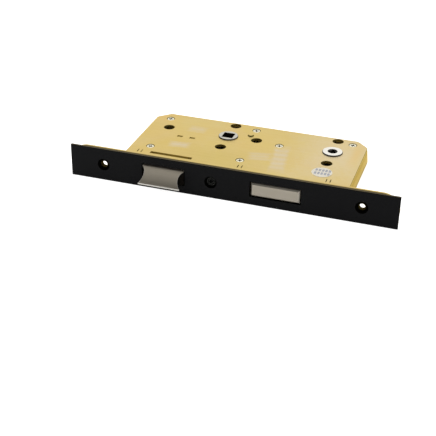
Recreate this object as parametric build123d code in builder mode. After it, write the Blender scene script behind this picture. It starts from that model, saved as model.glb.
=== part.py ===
"""Bathroom mortise lock: a gold-plated steel case with a latch and a deadbolt behind a black forend.

Frame, in millimetres: X runs along the forend with the latch on the -X side, Y runs from the
forend's outer face into the case, Z is up through the cover plate. The origin is the middle of the
forend's outer face. All bolts and followers are drawn at rest: latch out, deadbolt in.
"""
from build123d import *
import os
from math import cos, radians, sin, sqrt

os.makedirs("parts", exist_ok=True)

# Forend
forend_length = 235.0
forend_width = 24.0
outer_forend_sheet = 1.8
inner_forend_sheet = 2.7
forend_edge_break = 0.25
inner_edge_round = 0.5
fixing_spacing = 185.0
fixing_hole = 4.2
fixing_countersink = 9.0
countersink_angle = 90.0

# Forend screw
forend_screw_x = -12.8
forend_screw_thread = 4.0
forend_screw_head = 5.8
forend_screw_length = 8.0
socket_flats = 3.0
socket_depth = 1.2

# Case
case_length = 162.0
case_shift = 0.5
case_depth = 84.2
case_thickness = 15.5
tray_sheet = 1.5
cover_sheet = 2.0
corner_chamfer = 8.5
corner_round = 3.0
floor_corner = 1.5
fold_radius = 1.0
cover_edge_round = 0.4

# Tabs that fix the tray and the cover to the inner forend
tab_width = 7.0
left_tab_inset = 9.5
middle_tab_x = 3.3
right_tab_inset = 15.5

# Spindle places
backset = 60.0
handle_x = -19.0
spindle_centres = 78.0
handle_square = 8.0
turn_square = 5.0
bolt_through_spacing = 38.0
bolt_through_hole = 8.2
plate_hole_left = 46.2
plate_hole_right = 21.5

# Clearances
spindle_clearance = 0.1
journal_clearance = 0.05
slide_clearance = 0.2
outer_window_clearance = 0.7
window_clearance = 0.3
fixed_clearance = 0.05

# Handle follower
handle_swing = 36.0
handle_journal = 14.4
handle_hub = 17.6
journal_stand = 0.8
journal_edge = 0.3
lever_tip = 5.2
lever_neck = 3.8
lever_height = 7.0
return_arm_reach = 13.4
return_arm_tip = 5.0
return_arm_neck = 3.0

# Latch
latch_offset = 28.6
latch_width = 30.4
latch_height = 11.2
latch_projection = 9.5
latch_travel = 10.0
latch_nose = 1.2
latch_bevel_start = 2.0
latch_bulge = 0.9
latch_waist = 2.6
latch_edge = 0.25
stem_diameter = 5.0
stem_seat = 8.0
stem_tail = 1.5
groove_depth = 0.6
clip_sheet = 1.0
clip_diameter = 7.4
washer_sheet = 1.2
washer_diameter = 7.8

# Latch spring, its coil measured to the middle of the wire, and its guide plate
latch_wire = 1.0
latch_coil = 8.4
latch_turns = 8
guide_setback = 13.3
guide_sheet = 2.0
guide_width = 20.0
guide_tab_width = 3.6
guide_tab_spacing = 9.5
guide_slot_gap = 0.25
guide_tab_sink = 0.5

# Latch carriage
carriage_plate = 1.8
carriage_gap = 1.5
fork_sheet = 2.5
fork_width = 12.0
fork_height = 8.6
lug_sheet = 2.5
lug_width = 5.2
lug_height = 6.4

# Follower spring, its coil measured to the middle of the wire, and its seat
return_wire = 1.0
return_coil = 5.0
return_turns = 9
return_seat_y = 29.0
return_seat_width = 8.0
return_seat_height = 9.0

# Deadbolt
deadbolt_offset = 25.8
deadbolt_width = 34.8
deadbolt_height = 10.2
deadbolt_stand = 0.5
deadbolt_length = 30.5
deadbolt_throw = 14.0
deadbolt_edge = 1.3
tail_sheet = 3.0
tail_width = 16.0
tail_seat = 8.0
tail_wall = 2.6
rivet_diameter = 3.0
rivet_spacing = 9.0
guide_pin_diameter = 4.0
guide_pin_shoulder = 6.4
guide_pin_setback = 10.0
guide_pin_stand = 1.2

# Turn follower
turn_swing = 90.0
turn_journal = 14.6
turn_lead_in = 7.2
turn_lead_angle = 45.0
turn_neck = 11.2
turn_flange = 17.0
turn_flange_height = 1.8
cam_diameter = 18.0
cam_flat = 7.9
cam_height = 3.4
crank_pin_diameter = 4.0
crank_wall = 1.8
crank_slot_slack = 0.45

# Detent spring of the turn follower
detent_sheet = 0.6
detent_width = 2.8
detent_bend = 1.0
detent_hook = 2.6
detent_post_diameter = 3.0
detent_post_spigot = 2.0
detent_front_post = 15.5
detent_post_gap = 1.75
spring_gap = 0.1

# Cover posts and screws
post_diameter = 5.5
post_spigot = 3.2
post_thread = 2.6
cover_screw_thread = 2.4
cover_screw_head = 5.6
cover_screw_length = 7.0
cover_screw_sink = 0.25
cross_length = 2.8
cross_width = 0.7
cross_depth = 0.9
post_side_gap = 1.15
tail_post_gap = 2.0
front_post_y = 25.2
left_post_inset = 11.0
right_post_inset = 11.1
left_post_drop = 9.2
back_post_drop = 7.7
handle_front_post = 19.4
handle_back_post = 16.8
tail_post_drop = 2.8

# Small features of the cover
latch_slot_y = 15.7
latch_slot_width = 3.2
slit_y = 15.6
slit_length = 4.4
slit_width = 0.6
slit_spacing = 2.8
pip_diameter = 4.8
pip_height = 0.8
pip_taper = 40.0
pip_x = 15.2
pip_y = 6.7
sticker_diameter = 14.4
sticker_sheet = 0.15
sticker_drop = 33.7

# Levels and edges worked out from the sizes above
forend_back = outer_forend_sheet + inner_forend_sheet
case_left = case_shift - case_length / 2
case_right = case_shift + case_length / 2
case_bottom = -case_thickness / 2
case_top = case_thickness / 2
case_floor = case_bottom + tray_sheet
case_ceiling = case_top - cover_sheet
inner_height = case_ceiling - case_floor
corner_slope = (corner_chamfer - floor_corner) / (case_ceiling - case_bottom)
inner_floor_corner = floor_corner + corner_slope * tray_sheet
turn_x = handle_x + spindle_centres
latch_x = handle_x - latch_offset
deadbolt_x = turn_x - deadbolt_offset
journal_top = case_top + journal_stand
journal_bottom = case_bottom - journal_stand
hub_bottom = case_floor + slide_clearance
hub_top = case_ceiling - slide_clearance

# Latch train: the lever works evenly about its square position
lever_radius = latch_travel / (2 * sin(radians(handle_swing / 2)))
lever_rest_angle = 180 + handle_swing / 2
return_rest_angle = handle_swing / 2
lever_rest_x = handle_x - lever_radius * cos(radians(handle_swing / 2))
lever_rest_y = backset - latch_travel / 2
return_rest_x = handle_x + return_arm_reach * cos(radians(return_rest_angle))
return_rest_y = backset + return_arm_reach * sin(radians(return_rest_angle))
guide_front = backset - guide_setback
guide_back = guide_front + guide_sheet
fork_front = guide_back + carriage_gap
fork_back = fork_front + fork_sheet
lug_front = lever_rest_y + lever_tip / 2 + slide_clearance
lug_back = lug_front + lug_sheet
lug_right = lever_rest_x + lug_width / 4
lug_left = lug_right - lug_width
carriage_bottom = case_floor + slide_clearance
carriage_top = carriage_bottom + carriage_plate
latch_left = latch_x - latch_width / 2
latch_back = guide_front - 2 * latch_travel - (latch_turns + 1) * latch_wire
washer_front = fork_back + slide_clearance
clip_front = washer_front + washer_sheet + fixed_clearance
stem_start = latch_back - stem_seat
stem_end = clip_front + clip_sheet + stem_tail

# Deadbolt train: the crank works evenly about its square position
crank_radius = deadbolt_throw / (2 * sin(radians(turn_swing / 2)))
crank_rest_angle = 180 - turn_swing / 2
crank_rest_x = turn_x - crank_radius * cos(radians(turn_swing / 2))
crank_rest_y = backset + deadbolt_throw / 2
crank_slot_half = crank_pin_diameter / 2 + crank_slot_slack
deadbolt_back = deadbolt_length - deadbolt_stand
tail_front = deadbolt_back - tail_seat
tail_back = crank_rest_y + crank_slot_half + tail_wall
tail_left = deadbolt_x - tail_width / 2
hook_front = crank_rest_y - crank_slot_half - tail_wall
hook_right = crank_rest_x + crank_slot_slack
crank_slot_left = turn_x - crank_radius - crank_slot_half
guide_pin_y = deadbolt_back + guide_pin_setback
turn_lead_depth = (turn_lead_in - turn_square) / 2 - spindle_clearance
cam_bottom = hub_top - cam_height
flange_top = hub_bottom + turn_flange_height
detent_left = turn_x + cam_flat + spring_gap
detent_right = detent_left + detent_sheet
post_radius = post_diameter / 2
detent_post_x = detent_right + fixed_clearance + detent_post_diameter / 2
detent_reach = detent_post_diameter / 2 + fixed_clearance + detent_sheet / 2
back_post_y = case_depth - back_post_drop
detent_front_y = backset - detent_front_post
detent_back_y = back_post_y - post_radius - detent_post_gap - detent_post_diameter / 2

# Places on the plates
tab_xs = [case_left + left_tab_inset, middle_tab_x, case_right - right_tab_inset]
bolt_through_points = [
    (x, backset + side * bolt_through_spacing / 2) for x in (handle_x, turn_x) for side in (-1, 1)
]
plate_hole_points = [(handle_x - plate_hole_left, backset), (handle_x + plate_hole_right, backset)]
cover_post_points = [
    (case_left + left_post_inset, case_depth - left_post_drop),
    (latch_left - post_side_gap - post_radius, front_post_y),
    (handle_x + handle_back_post, back_post_y),
    (handle_x + handle_front_post, front_post_y),
    (tail_left - tail_post_gap - post_radius, backset - tail_post_drop),
    (case_right - right_post_inset, back_post_y),
]
guide_tab_points = [
    (latch_x + side * guide_tab_spacing / 2, guide_front + guide_sheet / 2) for side in (-1, 1)
]

# Features worked out from the sizes above
fixing_xs = [-fixing_spacing / 2, fixing_spacing / 2]
sink_slope = sin(radians(countersink_angle / 2)) / cos(radians(countersink_angle / 2))
screw_seat_y = (fixing_countersink - forend_screw_head) / 2 / sink_slope - fixed_clearance
screw_head_depth = (forend_screw_head - forend_screw_thread) / 2 / sink_slope
cover_screw_head_depth = (cover_screw_head - cover_screw_thread) / 2 / sink_slope
cover_screw_top = case_top - cover_screw_sink
cover_screw_mouth = cover_screw_head + 2 * (cover_screw_sink * sink_slope + fixed_clearance)
waist_radius = ((latch_projection / 2) ** 2 + latch_waist**2) / (2 * latch_waist)
waist_centre = latch_width / 2 - latch_waist + waist_radius
return_spring_front = return_seat_y + tray_sheet
return_spring_back = return_rest_y - return_arm_tip / 2 - spring_gap
rivet_points = [(deadbolt_x + side * rivet_spacing / 2, deadbolt_back - tail_seat / 2) for side in (-1, 1)]
crank_tip = crank_pin_diameter + 2 * crank_wall
detent_middle = detent_left + detent_sheet / 2
detent_post_points = [(detent_post_x, detent_front_y), (detent_post_x, detent_back_y)]
detent_front = detent_front_y - detent_reach
detent_back = detent_back_y + detent_reach


def draw_case_outline(corner, inset=0.0):
    """Draw the case in plan, inset from its walls and open at the forend, with its back corners cut."""
    leg = corner - inset * (2 - sqrt(2))
    left = case_left + inset
    right = case_right - inset
    back = case_depth - inset
    Polygon(
        (left, forend_back),
        (right, forend_back),
        (right, back - leg),
        (right - leg, back),
        (left + leg, back),
        (left, back - leg),
        align=None,
    )


def draw_plate_holes():
    """Draw the holes that the tray's floor and the cover plate share."""
    with Locations(*bolt_through_points, *plate_hole_points):
        Circle(bolt_through_hole / 2)
    with Locations((handle_x, backset)):
        Circle(handle_journal / 2 + journal_clearance)
    with Locations((turn_x, backset)):
        Circle(turn_journal / 2 + journal_clearance)
    with Locations(*guide_tab_points):
        Rectangle(guide_tab_width + 2 * guide_slot_gap, guide_sheet + 2 * guide_slot_gap)


def draw_forend_tabs():
    """Draw the tabs of a plate that reach through the inner forend."""
    with Locations(*[(x, forend_back - inner_forend_sheet / 2) for x in tab_xs]):
        Rectangle(tab_width, inner_forend_sheet)


def draw_bolt_windows(clearance):
    """Draw the windows for the latch and the deadbolt in a forend, with a clearance all round."""
    with Locations((latch_x, 0)):
        Rectangle(latch_width + 2 * clearance, latch_height + 2 * clearance)
    with Locations((deadbolt_x, 0)):
        Rectangle(deadbolt_width + 2 * clearance, deadbolt_height + 2 * clearance)


def cut_screw_hole():
    """Cut the forend screw's hole, countersunk from the outer face, out of a forend."""
    with Locations(outward_plane(0, forend_screw_x)):
        CounterSinkHole(
            forend_screw_thread / 2 + fixed_clearance,
            fixing_countersink / 2,
            counter_sink_angle=countersink_angle,
        )


def outward_plane(y, x=0.0):
    """Give the plane at depth y that faces out of the door, with sketch X along the forend and Y up."""
    return Plane(origin=(x, y, 0), x_dir=(1, 0, 0), z_dir=(0, -1, 0))


def inward_plane(y, x=0.0):
    """Give the plane at depth y that faces into the case, with sketch X towards -X and Y up."""
    return Plane(origin=(x, y, 0), x_dir=(-1, 0, 0), z_dir=(0, 1, 0))


# Outer forend: a square-ended plate with countersunk fixing holes
with BuildPart() as outer_forend:
    with BuildSketch(outward_plane(outer_forend_sheet)):
        Rectangle(forend_length, forend_width)
    extrude(amount=outer_forend_sheet)
    chamfer(outer_forend.faces().sort_by(Axis.Y)[0].edges(), forend_edge_break)
    with BuildSketch(outward_plane(outer_forend_sheet)):
        draw_bolt_windows(outer_window_clearance)
    extrude(amount=outer_forend_sheet, mode=Mode.SUBTRACT)
    with Locations(*[outward_plane(0, x) for x in fixing_xs]):
        CounterSinkHole(fixing_hole / 2, fixing_countersink / 2, counter_sink_angle=countersink_angle)
    cut_screw_hole()
outer_forend.part.label = "outer_forend"
export_step(outer_forend.part, "parts/outer_forend.step")

# Inner forend: a thicker round-ended plate with plain fixing holes that the case is fixed to
with BuildPart() as inner_forend:
    with BuildSketch(outward_plane(forend_back)):
        SlotOverall(forend_length, forend_width)
    extrude(amount=inner_forend_sheet)
    fillet(inner_forend.faces().sort_by(Axis.Y)[-1].edges(), inner_edge_round)
    with BuildSketch(outward_plane(forend_back)):
        draw_bolt_windows(window_clearance)
        with Locations(*[(x, case_bottom + tray_sheet / 2) for x in tab_xs]):
            Rectangle(tab_width + 2 * fixed_clearance, tray_sheet + 2 * fixed_clearance)
        with Locations(*[(x, case_top - cover_sheet / 2) for x in tab_xs]):
            Rectangle(tab_width + 2 * fixed_clearance, cover_sheet + 2 * fixed_clearance)
        with Locations(*[(x, 0) for x in fixing_xs]):
            Circle(fixing_hole / 2)
    extrude(amount=inner_forend_sheet, mode=Mode.SUBTRACT)
    cut_screw_hole()
inner_forend.part.label = "inner_forend"
export_step(inner_forend.part, "parts/inner_forend.step")

# Forend screw: a countersunk socket screw that holds the two forends together
with BuildPart() as forend_screw:
    with BuildSketch(Plane.XY):
        with BuildLine():
            Polyline(
                (forend_screw_x, screw_seat_y),
                (forend_screw_x + forend_screw_head / 2, screw_seat_y),
                (forend_screw_x + forend_screw_thread / 2, screw_seat_y + screw_head_depth),
                (forend_screw_x + forend_screw_thread / 2, screw_seat_y + forend_screw_length),
                (forend_screw_x, screw_seat_y + forend_screw_length),
                close=True,
            )
        make_face()
    revolve(axis=Axis((forend_screw_x, 0, 0), (0, 1, 0)))
    with BuildSketch(outward_plane(screw_seat_y, forend_screw_x)):
        RegularPolygon(socket_flats / 2, 6, major_radius=False)
    extrude(amount=-socket_depth, mode=Mode.SUBTRACT)
forend_screw.part.label = "forend_screw"
export_step(forend_screw.part, "parts/forend_screw.step")

# Case tray: a drawn sheet box with sloping back corners, open at the forend and under the cover
with BuildPart() as case_tray:
    with BuildSketch(Plane.XY.offset(case_bottom)):
        draw_case_outline(floor_corner)
    with BuildSketch(Plane.XY.offset(case_ceiling)):
        draw_case_outline(corner_chamfer)
    loft(ruled=True)
    floor_edges = case_tray.faces().sort_by(Axis.Z)[0].edges()
    folds = [edge for edge in floor_edges if edge.center().Y > forend_back + fold_radius]
    fillet(folds, fold_radius)
    with BuildSketch(Plane.XY.offset(case_floor)):
        draw_case_outline(inner_floor_corner, tray_sheet)
    with BuildSketch(Plane.XY.offset(case_ceiling)):
        draw_case_outline(corner_chamfer, tray_sheet)
    loft(ruled=True, mode=Mode.SUBTRACT)
    with BuildSketch(Plane.XY.offset(case_bottom)):
        draw_forend_tabs()
    extrude(amount=tray_sheet)
    with BuildSketch(Plane.XY.offset(case_bottom)):
        draw_plate_holes()
        with Locations(*cover_post_points, (deadbolt_x, guide_pin_y)):
            Circle(post_spigot / 2 + fixed_clearance)
        with Locations(*detent_post_points):
            Circle(detent_post_spigot / 2 + fixed_clearance)
    extrude(amount=tray_sheet, mode=Mode.SUBTRACT)
    with BuildSketch(Plane.XY.offset(case_floor)):
        with Locations((return_rest_x, return_seat_y)):
            Rectangle(return_seat_width, tray_sheet, align=(Align.CENTER, Align.MIN))
    extrude(amount=return_seat_height)
case_tray.part.label = "case_tray"
export_step(case_tray.part, "parts/case_tray.step")

# Cover plate: a flat sheet over the whole case
with BuildPart() as cover_plate:
    with BuildSketch(Plane.XY.offset(case_ceiling)):
        draw_case_outline(corner_chamfer)
        back_corners = [corner for corner in vertices() if corner.Y > forend_back]
        fillet(back_corners, corner_round)
    extrude(amount=cover_sheet)
    rim_edges = cover_plate.faces().sort_by(Axis.Z)[-1].edges()
    outer_rim = [edge for edge in rim_edges if edge.center().Y > forend_back + cover_edge_round]
    fillet(outer_rim, cover_edge_round)
    with BuildSketch(Plane.XY.offset(case_ceiling)):
        draw_forend_tabs()
    extrude(amount=cover_sheet)
    with BuildSketch(Plane.XY.offset(case_top)):
        with Locations((handle_x + pip_x, backset + pip_y)):
            Circle(pip_diameter / 2)
    extrude(amount=pip_height, taper=pip_taper)
    with BuildSketch(Plane.XY.offset(case_ceiling)):
        draw_plate_holes()
        with Locations((latch_x, latch_slot_y)):
            Rectangle(latch_width + 2 * window_clearance, latch_slot_width)
        with Locations(*[(x + side * slit_spacing / 2, slit_y) for x in tab_xs for side in (-1, 1)]):
            Rectangle(slit_width, slit_length)
    extrude(amount=cover_sheet, mode=Mode.SUBTRACT)
    with BuildSketch(Plane.XY.offset(case_ceiling)):
        with Locations((handle_x + pip_x, backset + pip_y)):
            Circle(pip_diameter / 2)
    extrude(amount=pip_height, taper=pip_taper, mode=Mode.SUBTRACT)
    with Locations(*[Plane.XY.offset(case_top).move(Location((x, y, 0))) for x, y in cover_post_points]):
        CounterSinkHole(
            cover_screw_thread / 2 + slide_clearance,
            cover_screw_mouth / 2,
            counter_sink_angle=countersink_angle,
        )
cover_plate.part.label = "cover_plate"
export_step(cover_plate.part, "parts/cover_plate.step")

# Cover posts: shouldered pillars riveted into the tray, tapped for the cover screws
with BuildPart() as post_form:
    with BuildSketch(Plane.XY.offset(case_floor)):
        Circle(post_radius)
    extrude(amount=inner_height)
    with BuildSketch(Plane.XY.offset(case_bottom)):
        Circle(post_spigot / 2)
    extrude(amount=tray_sheet)
    with BuildSketch(Plane.XY.offset(case_ceiling)):
        Circle(post_thread / 2)
    extrude(amount=-cover_screw_length, mode=Mode.SUBTRACT)

with BuildPart() as cover_posts:
    with Locations(*cover_post_points):
        add(post_form.part)
cover_posts.part.label = "cover_posts"
export_step(cover_posts.part, "parts/cover_posts.step")

# Cover screws: countersunk, with a cross recess, sunk a little below the cover's face
with BuildPart() as screw_form:
    with BuildSketch(Plane.XZ):
        with BuildLine():
            Polyline(
                (0, cover_screw_top),
                (cover_screw_head / 2, cover_screw_top),
                (cover_screw_thread / 2, cover_screw_top - cover_screw_head_depth),
                (cover_screw_thread / 2, cover_screw_top - cover_screw_length),
                (0, cover_screw_top - cover_screw_length),
                close=True,
            )
        make_face()
    revolve(axis=Axis.Z)
    with BuildSketch(Plane.XY.offset(cover_screw_top)):
        Rectangle(cross_length, cross_width)
        Rectangle(cross_width, cross_length)
    extrude(amount=-cross_depth, mode=Mode.SUBTRACT)

with BuildPart() as cover_screws:
    with Locations(*cover_post_points):
        add(screw_form.part)
cover_screws.part.label = "cover_screws"
export_step(cover_screws.part, "parts/cover_screws.step")

# Latch guide: an upright plate, tabbed through tray and cover, that guides the stem and backs the spring
with BuildPart() as latch_guide:
    with BuildSketch(inward_plane(guide_front, latch_x)):
        with Locations((0, (case_floor + case_ceiling) / 2)):
            Rectangle(guide_width, inner_height)
        with Locations((-guide_tab_spacing / 2, 0), (guide_tab_spacing / 2, 0)):
            Rectangle(guide_tab_width, case_thickness - 2 * guide_tab_sink)
        Circle(stem_diameter / 2 + slide_clearance, mode=Mode.SUBTRACT)
    extrude(amount=guide_sheet)
latch_guide.part.label = "latch_guide"
export_step(latch_guide.part, "parts/latch_guide.step")

# Latch bolt: a block with a curved bevel, a flat nose and waisted ends
with BuildPart() as latch_bolt:
    with BuildSketch(Plane.YZ.offset(latch_left)):
        with BuildLine():
            Polyline(
                (latch_bevel_start, latch_height / 2),
                (latch_back, latch_height / 2),
                (latch_back, -latch_height / 2),
                (latch_edge - latch_projection, -latch_height / 2),
                (-latch_projection, latch_edge - latch_height / 2),
                (-latch_projection, latch_nose - latch_height / 2),
            )
            SagittaArc(
                (-latch_projection, latch_nose - latch_height / 2),
                (latch_bevel_start, latch_height / 2),
                latch_bulge,
            )
        make_face()
    extrude(amount=latch_width)
    with BuildSketch(Plane.XY.offset(-latch_height / 2)):
        with Locations(*[(latch_x + side * waist_centre, -latch_projection / 2) for side in (-1, 1)]):
            Circle(waist_radius)
    extrude(amount=latch_height, mode=Mode.SUBTRACT)
    with Locations(inward_plane(latch_back, latch_x)):
        Hole(stem_diameter / 2 + fixed_clearance, stem_seat)
latch_bolt.part.label = "latch_bolt"
export_step(latch_bolt.part, "parts/latch_bolt.step")

# Latch stem: a round bar pressed into the latch, grooved for its clip
with BuildPart() as latch_stem:
    with BuildSketch(inward_plane(stem_start, latch_x)):
        Circle(stem_diameter / 2)
    extrude(amount=stem_end - stem_start)
    with BuildSketch(inward_plane(clip_front - fixed_clearance, latch_x)):
        Circle(stem_diameter / 2)
        Circle(stem_diameter / 2 - groove_depth, mode=Mode.SUBTRACT)
    extrude(amount=clip_sheet + 2 * fixed_clearance, mode=Mode.SUBTRACT)
latch_stem.part.label = "latch_stem"
export_step(latch_stem.part, "parts/latch_stem.step")

# Stem washer: what the carriage pulls on
with BuildPart() as stem_washer:
    with BuildSketch(inward_plane(washer_front, latch_x)):
        Circle(washer_diameter / 2)
        Circle(stem_diameter / 2 + fixed_clearance, mode=Mode.SUBTRACT)
    extrude(amount=washer_sheet)
stem_washer.part.label = "stem_washer"
export_step(stem_washer.part, "parts/stem_washer.step")

# Stem clip: a spring clip snapped into the stem's groove
with BuildPart() as stem_clip:
    with BuildSketch(inward_plane(clip_front, latch_x)):
        Circle(clip_diameter / 2)
        Circle(stem_diameter / 2 - groove_depth + fixed_clearance, mode=Mode.SUBTRACT)
        Rectangle(
            stem_diameter - 2 * groove_depth,
            clip_diameter,
            align=(Align.CENTER, Align.MIN),
            mode=Mode.SUBTRACT,
        )
    extrude(amount=clip_sheet)
stem_clip.part.label = "stem_clip"
export_step(stem_clip.part, "parts/stem_clip.step")

# Latch spring: a coil round the stem, from the latch's back to the guide
with BuildPart() as latch_spring:
    with BuildLine() as latch_coil_line:
        Helix(
            (guide_front - latch_back - latch_wire) / latch_turns,
            guide_front - latch_back - latch_wire,
            latch_coil / 2,
            center=(latch_x, latch_back + latch_wire / 2, 0),
            direction=(0, 1, 0),
        )
    with BuildSketch(Plane(origin=latch_coil_line.line @ 0, z_dir=latch_coil_line.line % 0)):
        Circle(latch_wire / 2)
    sweep(path=latch_coil_line.line, is_frenet=True)
latch_spring.part.label = "latch_spring"
export_step(latch_spring.part, "parts/latch_spring.step")

# Latch carriage: a bent plate whose fork holds the stem and whose lug meets the follower's lever
with BuildPart() as latch_carriage:
    with BuildSketch(Plane.XY.offset(carriage_bottom)):
        with Locations((latch_x - fork_width / 2, fork_front)):
            Rectangle(
                lug_right - latch_x + fork_width / 2, lug_back - fork_front, align=(Align.MIN, Align.MIN)
            )
    extrude(amount=carriage_plate)
    with BuildSketch(Plane.XY.offset(carriage_top)):
        with Locations((latch_x, fork_front)):
            Rectangle(fork_width, fork_sheet, align=(Align.CENTER, Align.MIN))
    extrude(amount=fork_height)
    with BuildSketch(Plane.XY.offset(carriage_top)):
        with Locations((lug_left, lug_front)):
            Rectangle(lug_width, lug_sheet, align=(Align.MIN, Align.MIN))
    extrude(amount=lug_height)
    with BuildSketch(inward_plane(fork_front, latch_x)):
        Circle(stem_diameter / 2 + slide_clearance)
        Rectangle(stem_diameter + 2 * slide_clearance, case_thickness, align=(Align.CENTER, Align.MIN))
    extrude(amount=fork_sheet, mode=Mode.SUBTRACT)
latch_carriage.part.label = "latch_carriage"
export_step(latch_carriage.part, "parts/latch_carriage.step")

# Handle follower: a cast hub with a lever for the latch and a short arm for its return spring
with BuildPart() as handle_follower:
    with BuildSketch(Plane.XY.offset(hub_bottom)):
        with Locations((handle_x, backset)):
            Circle(handle_hub / 2)
    extrude(amount=hub_top - hub_bottom)
    with BuildSketch(Plane.XY.offset(journal_bottom)):
        with Locations((handle_x, backset)):
            Circle(handle_journal / 2)
    extrude(amount=journal_top - journal_bottom)
    journal_rims = handle_follower.edges().group_by(Axis.Z)
    chamfer(journal_rims[0] + journal_rims[-1], journal_edge)
    with BuildSketch(Plane.XY.offset(-lever_height / 2)):
        with Locations(Location((handle_x, backset, 0), (0, 0, lever_rest_angle))):
            Rectangle(lever_radius, lever_neck, align=(Align.MIN, Align.CENTER))
        with Locations(Location((handle_x, backset, 0), (0, 0, return_rest_angle))):
            Rectangle(return_arm_reach, return_arm_neck, align=(Align.MIN, Align.CENTER))
        with Locations((lever_rest_x, lever_rest_y)):
            Circle(lever_tip / 2)
        with Locations((return_rest_x, return_rest_y)):
            Circle(return_arm_tip / 2)
    extrude(amount=lever_height)
    with BuildSketch(Plane.XY.offset(journal_bottom)):
        with Locations((handle_x, backset)):
            Rectangle(handle_square + 2 * spindle_clearance, handle_square + 2 * spindle_clearance)
    extrude(amount=journal_top - journal_bottom, mode=Mode.SUBTRACT)
handle_follower.part.label = "handle_follower"
export_step(handle_follower.part, "parts/handle_follower.step")

# Follower spring: a coil from the tray's seat to the follower's short arm
with BuildPart() as follower_spring:
    with BuildLine() as return_coil_line:
        Helix(
            (return_spring_back - return_spring_front - return_wire) / return_turns,
            return_spring_back - return_spring_front - return_wire,
            return_coil / 2,
            center=(return_rest_x, return_spring_front + return_wire / 2, 0),
            direction=(0, 1, 0),
        )
    with BuildSketch(Plane(origin=return_coil_line.line @ 0, z_dir=return_coil_line.line % 0)):
        Circle(return_wire / 2)
    sweep(path=return_coil_line.line, is_frenet=True)
follower_spring.part.label = "follower_spring"
export_step(follower_spring.part, "parts/follower_spring.step")

# Deadbolt: a block with a chamfered face, slotted at the back for its tail
with BuildPart() as deadbolt:
    with BuildSketch(outward_plane(deadbolt_back, deadbolt_x)):
        Rectangle(deadbolt_width, deadbolt_height)
    extrude(amount=deadbolt_length)
    chamfer(deadbolt.faces().sort_by(Axis.Y)[0].edges(), deadbolt_edge)
    with BuildSketch(outward_plane(deadbolt_back, deadbolt_x)):
        Rectangle(tail_width + 2 * fixed_clearance, tail_sheet + 2 * fixed_clearance)
    extrude(amount=tail_seat + fixed_clearance, mode=Mode.SUBTRACT)
    with Locations(*rivet_points):
        Hole(rivet_diameter / 2 + fixed_clearance)
deadbolt.part.label = "deadbolt"
export_step(deadbolt.part, "parts/deadbolt.step")

# Deadbolt tail: a flat bar with a guide slot and an open slot for the crank pin
with BuildPart() as deadbolt_tail:
    with BuildSketch(Plane.XY.offset(-tail_sheet / 2)):
        with Locations((tail_left, tail_front)):
            Rectangle(tail_width, tail_back - tail_front, align=(Align.MIN, Align.MIN))
        with Locations((deadbolt_x, hook_front)):
            Rectangle(hook_right - deadbolt_x, tail_back - hook_front, align=(Align.MIN, Align.MIN))
        with Locations((crank_slot_left + crank_slot_half, crank_rest_y)):
            Circle(crank_slot_half, mode=Mode.SUBTRACT)
            Rectangle(
                hook_right - crank_slot_left,
                2 * crank_slot_half,
                align=(Align.MIN, Align.CENTER),
                mode=Mode.SUBTRACT,
            )
        with Locations(Location((deadbolt_x, guide_pin_y + deadbolt_throw / 2, 0), (0, 0, 90))):
            SlotCenterToCenter(deadbolt_throw, guide_pin_diameter + 2 * slide_clearance, mode=Mode.SUBTRACT)
        with Locations(*rivet_points):
            Circle(rivet_diameter / 2 + fixed_clearance, mode=Mode.SUBTRACT)
    extrude(amount=tail_sheet)
deadbolt_tail.part.label = "deadbolt_tail"
export_step(deadbolt_tail.part, "parts/deadbolt_tail.step")

# Deadbolt rivets: two pins through the bolt and its tail
with BuildPart() as deadbolt_rivets:
    with BuildSketch(Plane.XY.offset(-deadbolt_height / 2)):
        with Locations(*rivet_points):
            Circle(rivet_diameter / 2)
    extrude(amount=deadbolt_height)
deadbolt_rivets.part.label = "deadbolt_rivets"
export_step(deadbolt_rivets.part, "parts/deadbolt_rivets.step")

# Deadbolt guide pin: a shouldered pin riveted into the tray
with BuildPart() as deadbolt_guide_pin:
    for bottom, top, diameter in (
        (case_bottom, case_floor, post_spigot),
        (case_floor, -tail_sheet / 2 - slide_clearance, guide_pin_shoulder),
        (-tail_sheet / 2 - slide_clearance, tail_sheet / 2 + guide_pin_stand, guide_pin_diameter),
    ):
        with BuildSketch(Plane.XY.offset(bottom)):
            with Locations((deadbolt_x, guide_pin_y)):
                Circle(diameter / 2)
        extrude(amount=top - bottom)
deadbolt_guide_pin.part.label = "deadbolt_guide_pin"
export_step(deadbolt_guide_pin.part, "parts/deadbolt_guide_pin.step")

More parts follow.
